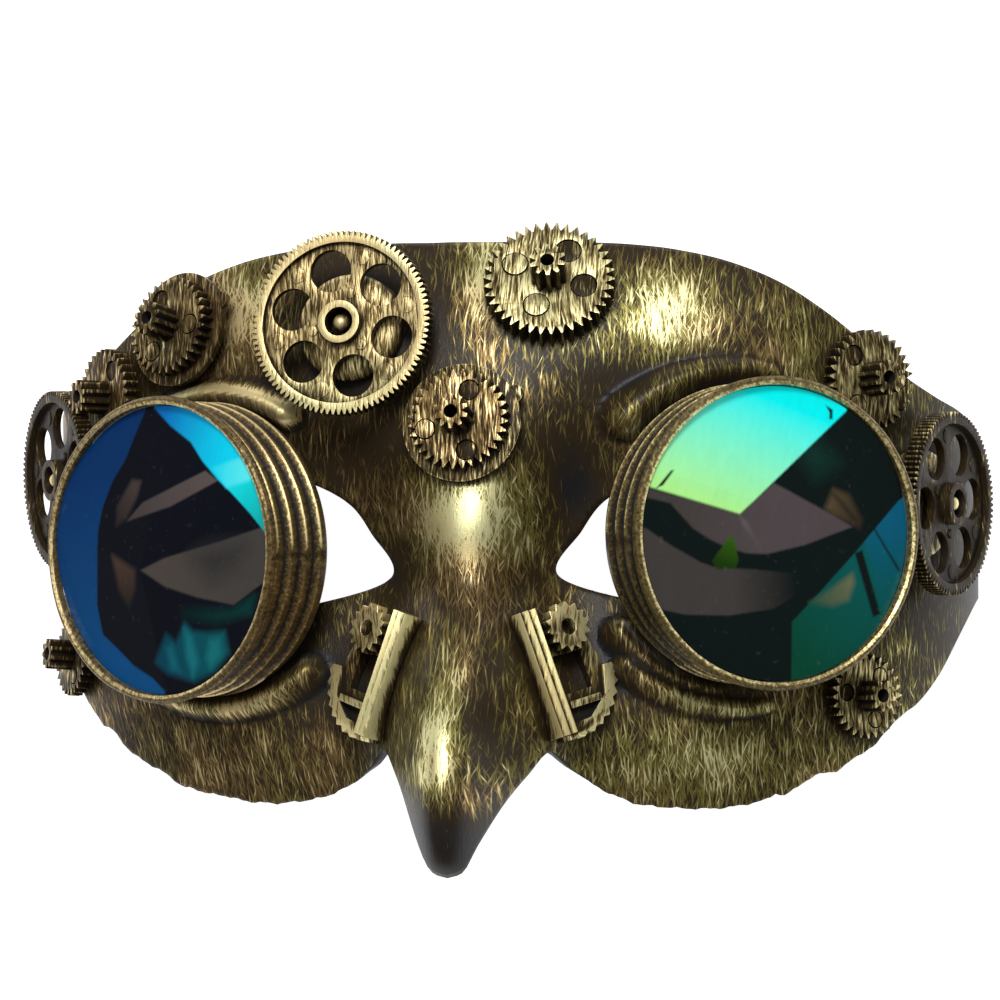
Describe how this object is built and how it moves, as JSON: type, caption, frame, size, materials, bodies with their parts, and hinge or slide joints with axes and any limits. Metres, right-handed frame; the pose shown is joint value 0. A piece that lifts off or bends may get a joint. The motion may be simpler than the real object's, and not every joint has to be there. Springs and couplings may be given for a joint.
{
  "type": "bird half-mask with clockwork goggles",
  "caption": "Moulded bird-beak half-mask with splayed ribbed goggles, faceted mirror lenses and glued-on clockwork; worn over the upper face, open at the back.",
  "frame": {"origin": "middle of the box at the level of the temples' back edges, which the mask lies on face up", "axes": "+X to the viewer's right across the face, +Y towards the forehead, +Z out of the face"},
  "size_m": [0.1766, 0.1102, 0.0915],
  "materials": {
    "shell": "black plastic dry-brushed with antique gold paint",
    "goggle": "antique gold paint, bright on the ribs and dark in the grooves",
    "gear": "pale gold paint over dark plastic, worn dark in the recesses",
    "lens": "faceted blue and green mirror coating"
  },
  "bodies": {
    "root": {"mask_shell": "shell", "centre_plate": "shell", "left_brow_plate": "shell", "left_goggle_barrel": "goggle", "left_goggle_bezel": "goggle", "right_goggle_barrel": "goggle", "right_goggle_bezel": "goggle", "brow_wheel": "gear", "brow_boss": "gear", "left_temple_wheel": "gear", "left_temple_boss": "gear", "right_temple_wheel": "gear", "right_temple_boss": "gear", "top_gear": "gear", "centre_gear": "gear", "left_brow_gear": "gear", "left_temple_gear": "gear", "left_cheek_gear": "gear", "right_brow_gear": "gear", "right_cheek_gear": "gear", "left_nose_bracket": "gear", "left_nose_cog": "gear", "right_nose_bracket": "gear", "right_nose_cog": "gear", "left_lens": "lens", "right_lens": "lens"}
  },
  "joints": []
}
